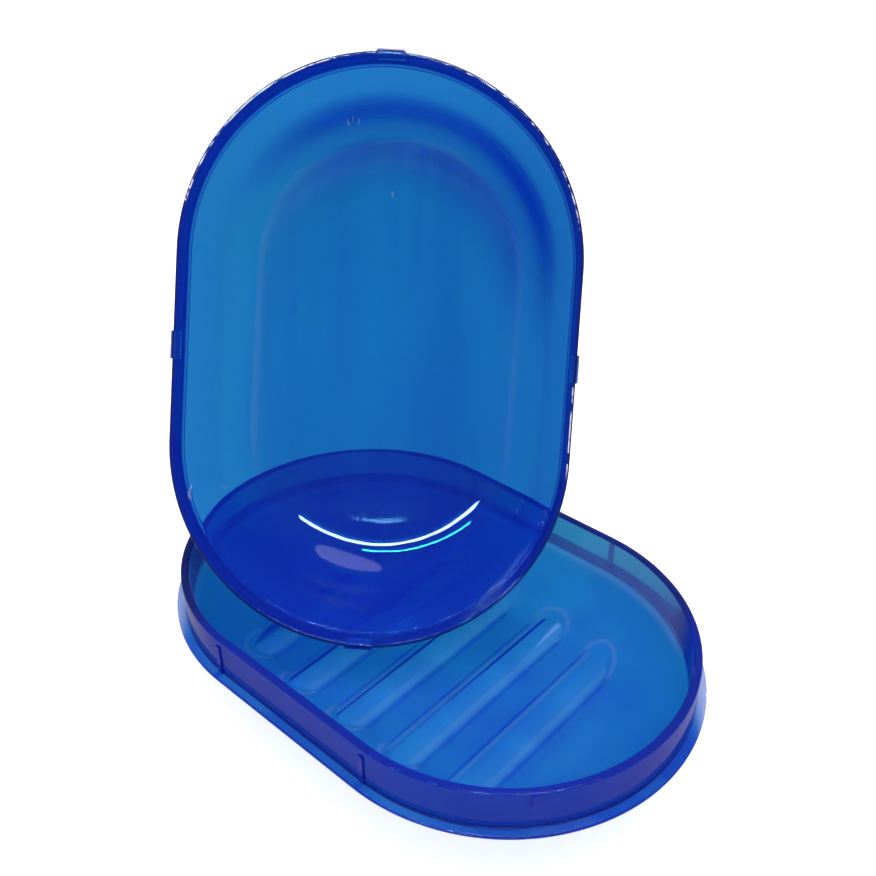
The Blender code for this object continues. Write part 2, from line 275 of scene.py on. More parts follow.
def tray_inside():
    """Outline of the space inside the tray, from above the rim down to the floor."""
    side = side_arc(FLOOR_THICKNESS, FLOOR_THICKNESS, WALL_INSIDE)
    points = rounded_outline([
        (HALF_WIDTH, RIM_HEIGHT + OVERCUT, 0.0),
        (WALL_INSIDE - RIM_ROUND, RIM_HEIGHT + OVERCUT, 0.0),
        (WALL_INSIDE - RIM_ROUND, RIM_HEIGHT, 0.0),
        (WALL_INSIDE, RIM_HEIGHT - RIM_ROUND, 0.0),
        (side[-1].x, side[-1].y, SIDE_FILLET),
        (side[-2].x, side[-2].y, 0.0),
    ])[:-1]
    fillet_end = points[-1].y
    points += [point for point in reversed(side) if point.y < fillet_end - RIM_ROUND]
    return points + [Vector((HALF_WIDTH, FLOOR_THICKNESS))]


def lid_outline():
    """Outline of the lid, opening at height 0 and dome upwards, from outside to inside."""
    top = DOME_DEPTH + CROWN_THICKNESS
    slope = math.tan(DOME_DRAFT)
    inner_foot = SKIRT_THICKNESS + STEP_WIDTH
    outer_foot = inner_foot - DOME_WALL / math.cos(DOME_DRAFT)
    shoulder = SKIRT_DEPTH + SHOULDER_LIFT
    return rounded_outline([
        (HALF_WIDTH, top, 0.0),
        (outer_foot + (top - SKIRT_DEPTH) * slope, top, DOME_ROUND),
        (outer_foot + (shoulder - SKIRT_DEPTH) * slope, shoulder, EDGE_ROUND),
        (0.0, shoulder, SHOULDER_ROUND),
        (0.0, 0.0, RIM_ROUND),
        (SKIRT_EDGE, 0.0, EDGE_ROUND),
        (SKIRT_THICKNESS, SKIRT_DEPTH, STEP_ROUND),
        (inner_foot, SKIRT_DEPTH, 0.0),
        (inner_foot + (DOME_DEPTH - SKIRT_DEPTH) * slope, DOME_DEPTH, DOME_FILLET),
        (HALF_WIDTH, DOME_DEPTH, 0.0),
    ])


def shape_ridges(tray, inside):
    """Leave the ridges standing on the floor and hollow them from below."""
    tools = []
    for index in range(RIDGE_COUNT):
        across = (index - (RIDGE_COUNT - 1) / 2) * RIDGE_PITCH
        ridge = wave_bar(across, 0.0, FLOOR_THICKNESS, RIDGE_HEIGHT, WALL_WIDTH)
        combine(inside, ridge, "DIFFERENCE")
        groove = wave_bar(across, -OVERCUT, 0.0, GROOVE_HEIGHT, WALL_WIDTH + OVERCUT)
        combine(tray, groove, "DIFFERENCE")
        tools += [ridge, groove]
    return tools


def add_ribs(tray, sunk):
    """Four upright ribs on the long sides of the wall, sunk this deep into it."""
    height = WALL_HEIGHT - RIB_DROP + RIB_FOOT
    along = HALF_STRAIGHT + RIB_OFFSET
    out = WALL_WIDTH / 2 + (RIB_PROUD - sunk) / 2
    middle = SHOULDER_HEIGHT - RIB_FOOT + height / 2
    tools = []
    for side_x in (-1, 1):
        for side_y in (-1, 1):
            place = Matrix.Translation((side_x * along, side_y * out, middle))
            rib = block((RIB_WIDTH, sunk + RIB_PROUD, height), place)
            combine(tray, rib, "UNION")
            tools.append(rib)
    return tools


def add_gate(tray, sunk):
    """The small gate mark under the rim, on the tray's round end, sunk this deep into it."""
    radius = WALL_WIDTH / 2 + (GATE_PROUD - sunk) / 2
    x = HALF_STRAIGHT + radius * math.cos(GATE_ANGLE)
    y = radius * math.sin(GATE_ANGLE)
    middle = RIM_HEIGHT - GATE_HEIGHT / 2 - RIM_ROUND
    place = Matrix.Translation((x, y, middle)) @ Matrix.Rotation(GATE_ANGLE, 4, "Z")
    gate = block((sunk + GATE_PROUD, GATE_WIDTH, GATE_HEIGHT), place)
    combine(tray, gate, "UNION")
    return gate


def build_tray():
    """The tray's fine surface, in its own frame, origin under its middle."""
    tray = stadium_solid("tray_shell", tray_outside())
    inside = stadium_solid("tray_inside", tray_inside())
    tools = [inside] + shape_ridges(tray, inside)
    combine(tray, inside, "DIFFERENCE")
    tools += add_ribs(tray, WALL_THICKNESS / 2)
    tools.append(add_gate(tray, WALL_THICKNESS / 2))
    settle(tray, tools)
    tray.location = TRAY_MIDDLE
    return tray


def build_lid():
    """The lid's fine surface, turned to its attitude and put where the frame's lid is."""
    lid = stadium_solid("lid_shell", lid_outline())
    depth = SKIRT_THICKNESS / 2
    tools = []
    for quarter in range(4):
        reach = HALF_WIDTH + (PAD_PROUD - depth) / 2
        if quarter % 2 == 0:
            reach += HALF_STRAIGHT
        turn = Matrix.Rotation(quarter * math.pi / 2, 4, "Z")
        place = turn @ Matrix.Translation((reach, 0.0, PAD_RISE + PAD_HEIGHT / 2))
        pad = block((depth + PAD_PROUD, PAD_WIDTH, PAD_HEIGHT), place)
        combine(lid, pad, "UNION")
        tools.append(pad)
    settle(lid, tools)
    lid.data.transform(LID_ATTITUDE)
    low, high = (Vector(corner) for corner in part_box("lid"))
    points = [vertex.co for vertex in lid.data.vertices]
    here_low = Vector([min(point[axis] for point in points) for axis in range(3)])
    here_high = Vector([max(point[axis] for point in points) for axis in range(3)])
    lid.location = (low + high - here_low - here_high) / 2
    return lid


# The plastic
WHITE = (1.0, 1.0, 1.0, 1.0)
PLASTIC_ROUGHNESS = 0.035
PLASTIC_IOR = 1.42
REFLECTION_TINT = (0.5, 0.82, 1.0, 1.0)
ABSORPTION_TINT = (0.0, 0.798, 0.865, 1.0)
ABSORPTION_DENSITY = 2800.0
SCATTER_COLOUR = (0.002, 0.06, 0.98, 1.0)
SCATTER_SHARE = 0.38
SCATTER_THROUGH = 0.5
# The darker colour below serves as tint and as painted shade; the pale one as wear and as painted
# highlights, reflections and light
DEEP_TINT_AND_SHADE = (0.02, 0.12, 0.6, 1.0)
WEAR_AND_SHEEN_COLOUR = (0.85, 0.9, 1.0, 1.0)

# Sizes in mm for the patterns, which work in mm in each piece's own closed attitude
PER_MM = 1 / MM
STRAIGHT_MM = HALF_STRAIGHT * PER_MM
OUTLINE_MM = HALF_WIDTH * PER_MM
RIB_MM = (HALF_STRAIGHT + RIB_OFFSET) * PER_MM
RIDGE_PITCH_MM = RIDGE_PITCH * PER_MM
RIDGES_REACH_MM = RIDGE_PITCH_MM * RIDGE_COUNT / 2

# Where the tray's wall and lip differ, with painted shade on the lip's front, painted reflections at its
# ends and painted light on the back wall. A run is 0 at its first number and 1 at its second
FRONTWARD = (0.67, -0.74)
SIDEWARD = (0.74, 0.67)
# Painted shade: the lip's front darker, with less scatter, fading towards its ends
LIP_INSET_RUN = (2.3, 1.9)
LIP_TOP_RUN = (12.5, 12.2)
LIP_FRONT_RUN = (0.0, 8.0)
LIP_SIDE_RUN = (51.0, 45.0)
LIP_SHADE = 0.6
LIP_SCATTER = -0.1
RIB_WIDTH_RUN = (0.75, 0.5)
RIB_FACE_RUN = (36.9, 37.1)
RIB_FOOT_RUN = (11.7, 12.0)
RIB_TOP_RUN = (19.0, 18.6)
GATE_SPOT = (46.1, -25.0, 18.7)
GATE_REACH = 2.4
GATE_INSET_RUN = (1.9, 1.7)
# The back wall: less scatter, and painted light on its inner face
BACK_RUN = (14.0, 4.0)
BACK_WALL_RUN = (12.0, 13.0)
BACK_SCATTER = -0.2
BACK_TOP_RUN = (20.1, 19.7)
BACK_INSET_RUN = (2.4, 2.8)
BACK_LIGHT_SHARE = 0.13
# Painted light on the foot of the back wall, inside
FOOT_RISE_RUN = (10.0, 11.5)
FOOT_FALL_RUN = (13.5, 12.5)
FOOT_INSET_RUN = (2.9, 3.3)
FOOT_LIGHT_SHARE = 0.09
NICK_STRETCH = (0.6, 0.6, 0.6)
NICK_LEVELS = (0.68, 0.72)
NICK_INSET_RUN = (0.5, 0.3)
NICK_HEIGHT_RUN = (11.0, 11.6)
NICK_SHARE = 0.7
# Painted reflections: the lip pale at its two ends
END_INSET_RUN = (2.0, 1.6)
END_SIDE_RUN = (47.0, 51.0)
END_REFLECTION = 0.3

# Where the tray's floor differs, with painted shade between the ridges and at the far end, and painted
# highlights on the ridges
FLOOR_INSET_RUN = (14.0, 19.0)
FLOOR_TOP_RUN = (3.0, 2.7)
RIDGE_INSET_RUN = (15.0, 16.0)
RIDGE_RISE_RUN = (1.4, 1.6)
RIDGES_END_FADE = 0.5
# Painted shade on the lands between the ridges and in lines along their feet
LAND_RUN = (3.4, 3.9)
LAND_SHADE = 0.16
LINE_RISE_RUN = (3.5, 3.8)
LINE_FALL_RUN = (4.3, 4.0)
LINE_SHADE = 0.5
# Painted highlights on the ridges' crests and round their ends
CREST_RISE_RUN = (2.0, 2.5)
CREST_FALL_RUN = (3.4, 3.0)
CREST_HIGHLIGHT = 0.02
TIP_CENTRE_INSET = 16.0
TIP_INSET_RUN = (17.0, 15.5)
TIP_RISE_RUN = (3.3, 3.8)
TIP_FALL_RUN = (4.7, 4.2)
TIP_HIGHLIGHT = 0.03
CLOUD_STRETCH = (0.06, 0.09, 0.06)
CLOUD_DETAIL = 4.0
CLOUD_LEVELS = (0.35, 0.7)
CLOUD_DEPTH = 0.22
NEAR_END_RUN = (15.0, 50.0)
NEAR_END_DEPTH = 0.14
# Painted shade at the far end inside: more blue scatter and less see-through there
FAR_END_RUN = (5.0, -30.0)
FAR_END_TOP_RUN = (12.5, 11.5)
FAR_END_SHADE_SCATTER = 0.14
TRAY_HAZE = 0.006

# Where the lid's dome differs: the painted shadow under its upper end is given as (inset, depth) stops
SHADOW_STOPS = (
    (0.0, 0.0), (3.2, 0.0), (4.1, 0.75), (5.4, 0.85), (7.4, 0.45), (9.3, 0.3),
    (10.8, 0.62), (13.0, 0.58), (17.0, 0.26), (21.0, 0.0), (25.0, 0.0),
)
UPWARD = (1.0, 0.4)
SHADOW_RUN = (10.0, 50.0)
STREAK_STRETCH = (0.012, 0.11, 0.02)
STREAK_DETAIL = 4.0
STREAK_LEVELS = (0.35, 0.7)
STREAK_INSET_RUN = (8.0, 12.0)
STREAK_DEPTH = 0.22
RIGHT_RUN = (6.0, 37.0)
RIGHT_RISE_RUN = (5.5, 6.8)
RIGHT_DEPTH = 0.22
LOW_RUN = (15.0, -20.0)
LOW_INSET_RUN = (5.0, 11.0)
LOW_DEPTH = 0.12
LOWEST_RUN = (-34.0, -46.0)
LOWEST_RISE_RUN = (6.0, 7.0)
LOWEST_DEPTH = 0.2
# Painted highlight: a pale line round the edge of the dome's flat, on its sides
GLINT_RISE_RUN = (9.2, 10.2)
GLINT_FALL_RUN = (11.4, 10.6)
GLINT_LOWER_RUN = (-32.0, -18.0)
GLINT_UPPER_RUN = (38.0, 22.0)
GLINT_HIGHLIGHT = 0.022
STROKE_STRETCH = (0.25, 2.2, 0.25)
STROKE_DETAIL = 3.0
STROKE_LEVELS = (0.54, 0.62)
STROKE_SHARE = 0.24
LID_HAZE = 0.004

# Where the dome is scratched: the middle of each spot and how far it reaches
SCRATCHED_SPOTS = (
    ((-29.2, -32.8, 21.4), 2.5),
    ((-29.1, -36.1, 6.2), 2.5),
    ((-30.6, 31.2, 24.4), 2.5),
    ((-30.6, 35.0, 8.7), 3.0),
    ((36.0, -0.2, 33.2), 1.2),
    ((49.4, -9.7, 26.2), 2.0),
)

# Where the lid's edge and pads differ, with painted shade on the outer edge, a painted highlight along the
# open edge and a painted reflection on the upper pad
# Painted shade: a dark line round the skirt's outer edge, with less scatter there
OUTLINE_INNER_RUN = (0.4, 0.3)
OUTLINE_OUTER_RUN = (-0.15, -0.05)
OUTLINE_HEIGHT_RUN = (7.5, 6.8)
OUTLINE_LESS_SCATTER = 0.85
# Painted highlight: a broken pale line along the open edge
EDGE_HIGHLIGHT_STRETCH = (0.45, 0.45, 0.45)
EDGE_HIGHLIGHT_DETAIL = 8.0
EDGE_HIGHLIGHT_LEVELS = (0.48, 0.58)
EDGE_HIGHLIGHT_HEIGHT_RUN = (0.6, 0.4)
EDGE_HIGHLIGHT_RISE_RUN = (0.3, 0.38)
EDGE_HIGHLIGHT_FALL_RUN = (0.6, 0.5)
EDGE_HIGHLIGHT_UPPER_RUN = (24.0, 32.0)
EDGE_HIGHLIGHT_ASIDE_RUN = (8.0, 12.0)
EDGE_HIGHLIGHT_LOWER_RISE_RUN = (-2.0, -5.0)
EDGE_HIGHLIGHT_LOWER_FALL_RUN = (-22.0, -18.0)
EDGE_HIGHLIGHT_RIGHT_RUN = (0.0, 5.0)
EDGE_HIGHLIGHT_SHARE = 0.9
PAD_INSET_RUN = (-0.1, -0.25)
PAD_LENGTH_RUN = (-45.0, -40.0)
HATCH_STRETCH = (3.0, 3.0, 1.0)
HATCH_LEVELS = (0.4, 0.6)
HATCH_SHARE = 0.15
# Painted reflection: the upper pad made palest
UPPER_PAD_RUN = (45.0, 55.0)
UPPER_PAD_REFLECTION = 0.2
PAD_SHARE = 0.12


def put(tree, value, socket):
    """Link a node's output to a socket, or set a plain number on it."""
    if isinstance(value, bpy.types.NodeSocket):
        tree.links.new(value, socket)
    else:
        socket.default_value = value


def maths(tree, operation, first, second=0.0):
    """One sum on two values."""
    node = tree.nodes.new("ShaderNodeMath")
    node.operation = operation
    put(tree, first, node.inputs[0])
    put(tree, second, node.inputs[1])
    return node.outputs[0]


def size_of(tree, value):
    """The value without its sign."""
    return maths(tree, "ABSOLUTE", value)


def difference(tree, first, second):
    """The first value less the second."""
    return maths(tree, "SUBTRACT", first, second)


def product(tree, *values):
    """All the values multiplied together."""
    total = values[0]
    for value in values[1:]:
        total = maths(tree, "MULTIPLY", total, value)
    return total


def total_of(tree, *values):
    """All the values added together, held between 0 and 1."""
    total = values[0]
    for value in values[1:]:
        total = maths(tree, "ADD", total, value)
    total.node.use_clamp = True
    return total


def hypotenuse(tree, along, across):
    """The straight distance from these two distances at right angles."""
    square = maths(tree, "ADD", maths(tree, "POWER", along, 2.0), maths(tree, "POWER", across, 2.0))
    return maths(tree, "SQRT", square)


def reach_along(tree, x, y, direction):
    """How far a place lies in a direction given as its shares of X and Y."""
    return maths(tree, "ADD", product(tree, x, direction[0]), product(tree, y, direction[1]))


def fade(tree, value, run):
    """0 up to the run's first number, 1 from its second on, and smooth between them."""
    node = tree.nodes.new("ShaderNodeMapRange")
    node.interpolation_type = "SMOOTHSTEP"
    put(tree, value, node.inputs["Value"])
    node.inputs["From Min"].default_value, node.inputs["From Max"].default_value = run
    return node.outputs["Result"]


def band(tree, value, rise, fall):
    """1 between two runs, fading to 0 on both sides."""
    return product(tree, fade(tree, value, rise), fade(tree, value, fall))


def profile(tree, value, stops):
    """A value turned into another by straight runs between (value, result) stops."""
    reach = stops[-1][0]
    node = tree.nodes.new("ShaderNodeValToRGB")
    put(tree, maths(tree, "DIVIDE", value, reach), node.inputs[0])
    ramp = node.color_ramp
    while len(ramp.elements) < len(stops):
        ramp.elements.new(1.0)
    for element, (place, level) in zip(ramp.elements, stops):
        element.position = place / reach
        element.color = (level, level, level, 1.0)
    return node.outputs["Color"]


def place_in_piece(tree, back):
    """X, Y and Z in mm in the piece's own closed attitude, and all three as one vector."""
    where = tree.nodes.new("ShaderNodeTexCoord")
    turned = tree.nodes.new("ShaderNodeMapping")
    turned.inputs["Scale"].default_value = (PER_MM, PER_MM, PER_MM)
    turned.inputs["Rotation"].default_value = back.to_euler()
    tree.links.new(where.outputs["Object"], turned.inputs["Vector"])
    split = tree.nodes.new("ShaderNodeSeparateXYZ")
    tree.links.new(turned.outputs["Vector"], split.inputs[0])
    return split.outputs["X"], split.outputs["Y"], split.outputs["Z"], turned.outputs["Vector"]


def stadium_inset(tree, along, across):
    """How far inside the stadium's outline a place is, in mm."""
    past = maths(tree, "MAXIMUM", difference(tree, size_of(tree, along), STRAIGHT_MM), 0.0)
    return difference(tree, OUTLINE_MM, hypotenuse(tree, past, across))


def noise(tree, place, stretch, detail=2.0):
    """Smooth random values, with this many ups and downs per mm along each axis."""
    scaled = tree.nodes.new("ShaderNodeVectorMath")
    scaled.operation = "MULTIPLY"
    put(tree, place, scaled.inputs[0])
    scaled.inputs[1].default_value = stretch
    texture = tree.nodes.new("ShaderNodeTexNoise")
    texture.inputs["Scale"].default_value = 1.0
    texture.inputs["Detail"].default_value = detail
    tree.links.new(scaled.outputs[0], texture.inputs["Vector"])
    return texture.outputs["Fac"]


def near(tree, place, spot, reach):
    """1 at a spot in the piece, falling to 0 at this reach from it, in mm."""
    node = tree.nodes.new("ShaderNodeVectorMath")
    node.operation = "DISTANCE"
    put(tree, place, node.inputs[0])
    node.inputs[1].default_value = spot
    return fade(tree, node.outputs["Value"], (reach, reach / 2))


def mixed(tree, share, first, second):
    """One shader with a share of another over it."""
    mix = tree.nodes.new("ShaderNodeMixShader")
    put(tree, share, mix.inputs[0])
    tree.links.new(first, mix.inputs[1])
    tree.links.new(second, mix.inputs[2])
    return mix.outputs["Shader"]


def plain_shader(tree, kind, colour):
    """A shader of one colour."""
    shader = tree.nodes.new(kind)
    shader.inputs["Color"].default_value = colour
    return shader.outputs[0]


def clear_plastic(tree, deeper):
    """The clear part of the plastic, with its tint or painted shade at the surface where the pattern asks
    for it.
    """
    clear = tree.nodes["Principled BSDF"]
    tone = tree.nodes.new("ShaderNodeMix")
    tone.data_type = "RGBA"
    put(tree, deeper, tone.inputs["Factor"])
    tone.inputs["A"].default_value = WHITE
    tone.inputs["B"].default_value = DEEP_TINT_AND_SHADE
    tree.links.new(tone.outputs["Result"], clear.inputs["Base Color"])
    clear.inputs["Roughness"].default_value = PLASTIC_ROUGHNESS
    clear.inputs["IOR"].default_value = PLASTIC_IOR
    clear.inputs["Specular Tint"].default_value = REFLECTION_TINT
    clear.inputs["Transmission Weight"].default_value = 1.0
    return clear.outputs["BSDF"]


def blue_plastic(name, pattern):
    """Clear plastic, tinted through its thickness, a little blue scattered at its faces.

    The pattern gives where the colour is darker, as tint or as painted shade, the share of scatter, and
    where a pale colour is laid on, as wear or as painted highlights, reflections and light.
    """
    material = bpy.data.materials.new(name)
    material.use_nodes = True
    tree = material.node_tree
    output = tree.nodes["Material Output"]
    deeper, scatter, wear_and_sheen = pattern(tree)
    front_glow = plain_shader(tree, "ShaderNodeBsdfDiffuse", SCATTER_COLOUR)
    through_glow = plain_shader(tree, "ShaderNodeBsdfTranslucent", SCATTER_COLOUR)
    glow = mixed(tree, SCATTER_THROUGH, front_glow, through_glow)
    surface = mixed(tree, scatter, clear_plastic(tree, deeper), glow)
    # Pale diffuse coat: wear in places, painted highlights, reflections and light in others
    scuffed_and_sheen = plain_shader(tree, "ShaderNodeBsdfDiffuse", WEAR_AND_SHEEN_COLOUR)
    tree.links.new(mixed(tree, wear_and_sheen, surface, scuffed_and_sheen), output.inputs["Surface"])
    tint = tree.nodes.new("ShaderNodeVolumeAbsorption")
    tint.inputs["Color"].default_value = ABSORPTION_TINT
    tint.inputs["Density"].default_value = ABSORPTION_DENSITY
    tree.links.new(tint.outputs["Volume"], output.inputs["Volume"])
    return material


def wall_marks(tree, y, z, place, inset, from_rib):
    """The tray's ribs and gate, at the full darker colour, and its nicked edge, which is pale with wear."""
    ribs = product(
        tree, fade(tree, from_rib, RIB_WIDTH_RUN), fade(tree, size_of(tree, y), RIB_FACE_RUN),
        fade(tree, z, RIB_FOOT_RUN), fade(tree, z, RIB_TOP_RUN),
    )
    gate = product(tree, near(tree, place, GATE_SPOT, GATE_REACH), fade(tree, inset, GATE_INSET_RUN))
    nicks = product(
        tree, fade(tree, noise(tree, place, NICK_STRETCH), NICK_LEVELS),
        fade(tree, inset, NICK_INSET_RUN), fade(tree, z, NICK_HEIGHT_RUN), NICK_SHARE,
    )
    return ribs, gate, nicks


def ridge_marks(tree, x, z, inset):
    """Painted shade on the lands and in lines between the ridges, and painted highlights on their crests
    and ends.
    """
    shifted = maths(tree, "ADD", x, RIDGES_REACH_MM)
    in_pitch = maths(tree, "FLOORED_MODULO", shifted, RIDGE_PITCH_MM)
    from_ridge = size_of(tree, difference(tree, in_pitch, RIDGE_PITCH_MM / 2))
    ridged = fade(tree, size_of(tree, x), (RIDGES_REACH_MM, RIDGES_REACH_MM - RIDGES_END_FADE))
    risen = product(tree, fade(tree, z, RIDGE_RISE_RUN), ridged)
    on_floor = product(tree, fade(tree, inset, FLOOR_INSET_RUN), fade(tree, z, FLOOR_TOP_RUN), ridged)
    # Painted shade on the lands between the ridges and in lines along their feet
    land = product(tree, fade(tree, from_ridge, LAND_RUN), on_floor, LAND_SHADE)
    line = product(tree, band(tree, from_ridge, LINE_RISE_RUN, LINE_FALL_RUN), on_floor, LINE_SHADE)
    # Painted highlights on the ridges' crests and round their ends
    crest = product(
        tree, band(tree, from_ridge, CREST_RISE_RUN, CREST_FALL_RUN),
        fade(tree, inset, RIDGE_INSET_RUN), risen, CREST_HIGHLIGHT,
    )
    past_end = maths(tree, "MAXIMUM", difference(tree, TIP_CENTRE_INSET, inset), 0.0)
    from_end = hypotenuse(tree, from_ridge, past_end)
    tips = product(
        tree, band(tree, from_end, TIP_RISE_RUN, TIP_FALL_RUN),
        fade(tree, inset, TIP_INSET_RUN), risen, TIP_HIGHLIGHT,
    )
    return land, line, crest, tips


def tray_pattern(tree):
    """The tray: painted shade on the lip in front, between the ridges and at the far end, cloudy floor, a
    clearer back wall with painted light on it, and painted reflections at the lip's ends.
    """
    x, y, z, place = place_in_piece(tree, Matrix.Identity(3))
    inset = stadium_inset(tree, x, y)
    ahead = reach_along(tree, x, y, FRONTWARD)
    aside = size_of(tree, reach_along(tree, x, y, SIDEWARD))
    from_rib = size_of(tree, difference(tree, size_of(tree, x), RIB_MM))
    ribs, gate, nicks = wall_marks(tree, y, z, place, inset, from_rib)
    land, line, crest, tips = ridge_marks(tree, x, z, inset)

    # Painted shade on the lip's front
    lip = product(
        tree, fade(tree, inset, LIP_INSET_RUN), fade(tree, z, LIP_TOP_RUN),
        fade(tree, ahead, LIP_FRONT_RUN), fade(tree, aside, LIP_SIDE_RUN),
    )
    cloudy = noise(tree, place, CLOUD_STRETCH, CLOUD_DETAIL)
    clouds = product(tree, fade(tree, cloudy, CLOUD_LEVELS), CLOUD_DEPTH)
    near_end = product(tree, fade(tree, x, NEAR_END_RUN), NEAR_END_DEPTH)
    deeper = total_of(tree, product(tree, lip, LIP_SHADE), land, line, clouds, near_end, ribs, gate)

    at_back = fade(tree, ahead, BACK_RUN)
    back_wall = product(tree, fade(tree, z, BACK_WALL_RUN), at_back)
    # Painted shade at the far end inside: more blue scatter and less see-through there
    far_end_shade = product(tree, fade(tree, x, FAR_END_RUN), fade(tree, z, FAR_END_TOP_RUN), FAR_END_SHADE_SCATTER)
    scatter = total_of(
        tree, SCATTER_SHARE, far_end_shade, product(tree, back_wall, BACK_SCATTER),
        product(tree, lip, LIP_SCATTER),
    )

    # Painted reflections: the lip pale at its two ends
    ends = product(
        tree, fade(tree, inset, END_INSET_RUN), fade(tree, z, LIP_TOP_RUN),
        fade(tree, aside, END_SIDE_RUN), END_REFLECTION,
    )
    # Painted light on the foot of the back wall, inside
    back_foot_light = product(
        tree, band(tree, z, FOOT_RISE_RUN, FOOT_FALL_RUN), at_back,
        fade(tree, inset, FOOT_INSET_RUN), FOOT_LIGHT_SHARE,
    )
    # Painted light on the back wall's inner face
    back_wall_light = product(
        tree, back_wall, fade(tree, z, BACK_TOP_RUN), fade(tree, inset, BACK_INSET_RUN), BACK_LIGHT_SHARE,
    )
    wear_and_sheen = total_of(tree, nicks, ends, back_wall_light, back_foot_light, crest, tips, TRAY_HAZE)
    return deeper, scatter, wear_and_sheen


def painted_edge_highlight(tree, x, y, z, place, inset):
    """A painted highlight, broken up, on the lid's open edge at its upper end and low on its right."""
    broken = fade(tree, noise(tree, place, EDGE_HIGHLIGHT_STRETCH, EDGE_HIGHLIGHT_DETAIL), EDGE_HIGHLIGHT_LEVELS)
    upper = product(tree, fade(tree, x, EDGE_HIGHLIGHT_UPPER_RUN), fade(tree, size_of(tree, y), EDGE_HIGHLIGHT_ASIDE_RUN))
    lower_right = product(
        tree, band(tree, x, EDGE_HIGHLIGHT_LOWER_RISE_RUN, EDGE_HIGHLIGHT_LOWER_FALL_RUN), fade(tree, y, EDGE_HIGHLIGHT_RIGHT_RUN),
    )
    return product(
        tree, broken, fade(tree, z, EDGE_HIGHLIGHT_HEIGHT_RUN), band(tree, inset, EDGE_HIGHLIGHT_RISE_RUN, EDGE_HIGHLIGHT_FALL_RUN),
        maths(tree, "MAXIMUM", upper, lower_right), EDGE_HIGHLIGHT_SHARE,
    )


def pad_hatching_and_reflection(tree, x, place, inset):
    """The hatched faces of the lid's pads, made paler, with a painted reflection that makes the upper one
    palest.
    """
    hatching = fade(tree, noise(tree, place, HATCH_STRETCH), HATCH_LEVELS)
    upper = product(tree, fade(tree, x, UPPER_PAD_RUN), UPPER_PAD_REFLECTION)
    return product(
        tree, fade(tree, inset, PAD_INSET_RUN), fade(tree, x, PAD_LENGTH_RUN),
        total_of(tree, product(tree, hatching, HATCH_SHARE), upper, PAD_SHARE),
    )


def scratches(tree, place):
    """Fine strokes along the lid, only at the scratched spots."""
    strokes = fade(tree, noise(tree, place, STROKE_STRETCH, STROKE_DETAIL), STROKE_LEVELS)
    marks = 0.0
    for spot, reach in SCRATCHED_SPOTS:
        marks = maths(tree, "MAXIMUM", marks, near(tree, place, spot, reach))
    return product(tree, strokes, marks, STROKE_SHARE)


def lid_pattern(tree):
    """The lid: painted shadow at the upper end of the dome, streaks down its flat, painted shade and
    highlights at its edge.
    """
    x, y, z, place = place_in_piece(tree, LID_ATTITUDE.to_3x3().inverted())
    inset = stadium_inset(tree, x, y)

    upward = reach_along(tree, x, y, UPWARD)
    # Painted shadow: darker under the dome's upper end, on its bend and the flat below
    painted_shadow = product(tree, profile(tree, inset, SHADOW_STOPS), fade(tree, upward, SHADOW_RUN))
    streaky = noise(tree, place, STREAK_STRETCH, STREAK_DETAIL)
    streaks = product(
        tree, fade(tree, streaky, STREAK_LEVELS), fade(tree, inset, STREAK_INSET_RUN), STREAK_DEPTH,
    )
    right = product(tree, fade(tree, y, RIGHT_RUN), fade(tree, z, RIGHT_RISE_RUN), RIGHT_DEPTH)
    low = product(tree, fade(tree, x, LOW_RUN), fade(tree, inset, LOW_INSET_RUN), LOW_DEPTH)
    lowest = product(tree, fade(tree, x, LOWEST_RUN), fade(tree, z, LOWEST_RISE_RUN), LOWEST_DEPTH)
    # Painted shade: a dark line round the skirt's outer edge, with less scatter there
    outline = product(
        tree, band(tree, inset, OUTLINE_OUTER_RUN, OUTLINE_INNER_RUN), fade(tree, z, OUTLINE_HEIGHT_RUN),
    )
    deeper = total_of(tree, painted_shadow, streaks, right, low, lowest, outline)

    scatter_kept = difference(tree, 1.0, product(tree, outline, OUTLINE_LESS_SCATTER))
    scatter = product(tree, scatter_kept, SCATTER_SHARE)

    # Painted highlight: a pale line round the edge of the dome's flat, on its sides
    glint = product(
        tree, band(tree, inset, GLINT_RISE_RUN, GLINT_FALL_RUN),
        band(tree, x, GLINT_LOWER_RUN, GLINT_UPPER_RUN), GLINT_HIGHLIGHT,
    )
    # Painted highlight: a broken pale line along the open edge
    edge_highlight = painted_edge_highlight(tree, x, y, z, place, inset)
    pads = pad_hatching_and_reflection(tree, x, place, inset)
    wear_and_sheen = total_of(tree, edge_highlight, glint, pads, scratches(tree, place), LID_HAZE)
    return deeper, scatter, wear_and_sheen


# The floor and the room
FLOOR_SIZE = 6.0
FLOOR_DROP = 0.2 * MM
FLOOR_COLOUR = (0.6, 0.6, 0.6, 1.0)
FLOOR_ROUGHNESS = 0.9
FLOOR_GLOW = (0.7, 0.7, 0.7, 1.0)
FLOOR_THROUGH = 0.85
ROOM_RUN = (0.0, 0.3)
ROOM_STRENGTHS = (1.0, 0.2)

# The point in the air above the tray that the lamps aim at
LAMP_AIM = Vector((0.0, 0.0, 30.0 * MM))


def seen_by(tree, *kinds):
    """1 for the kinds of ray named, 0 for the others."""
    path = tree.nodes.new("ShaderNodeLightPath")
    total = path.outputs[kinds[0]]
    for kind in kinds[1:]:
        total = maths(tree, "MAXIMUM", total, path.outputs[kind])
    return total


def chosen(tree, share, first, second):
    """The first number, or the second by its share."""
    node = tree.nodes.new("ShaderNodeMix")
    put(tree, share, node.inputs["Factor"])
    put(tree, first, node.inputs["A"])
    put(tree, second, node.inputs["B"])
    return node.outputs["Result"]


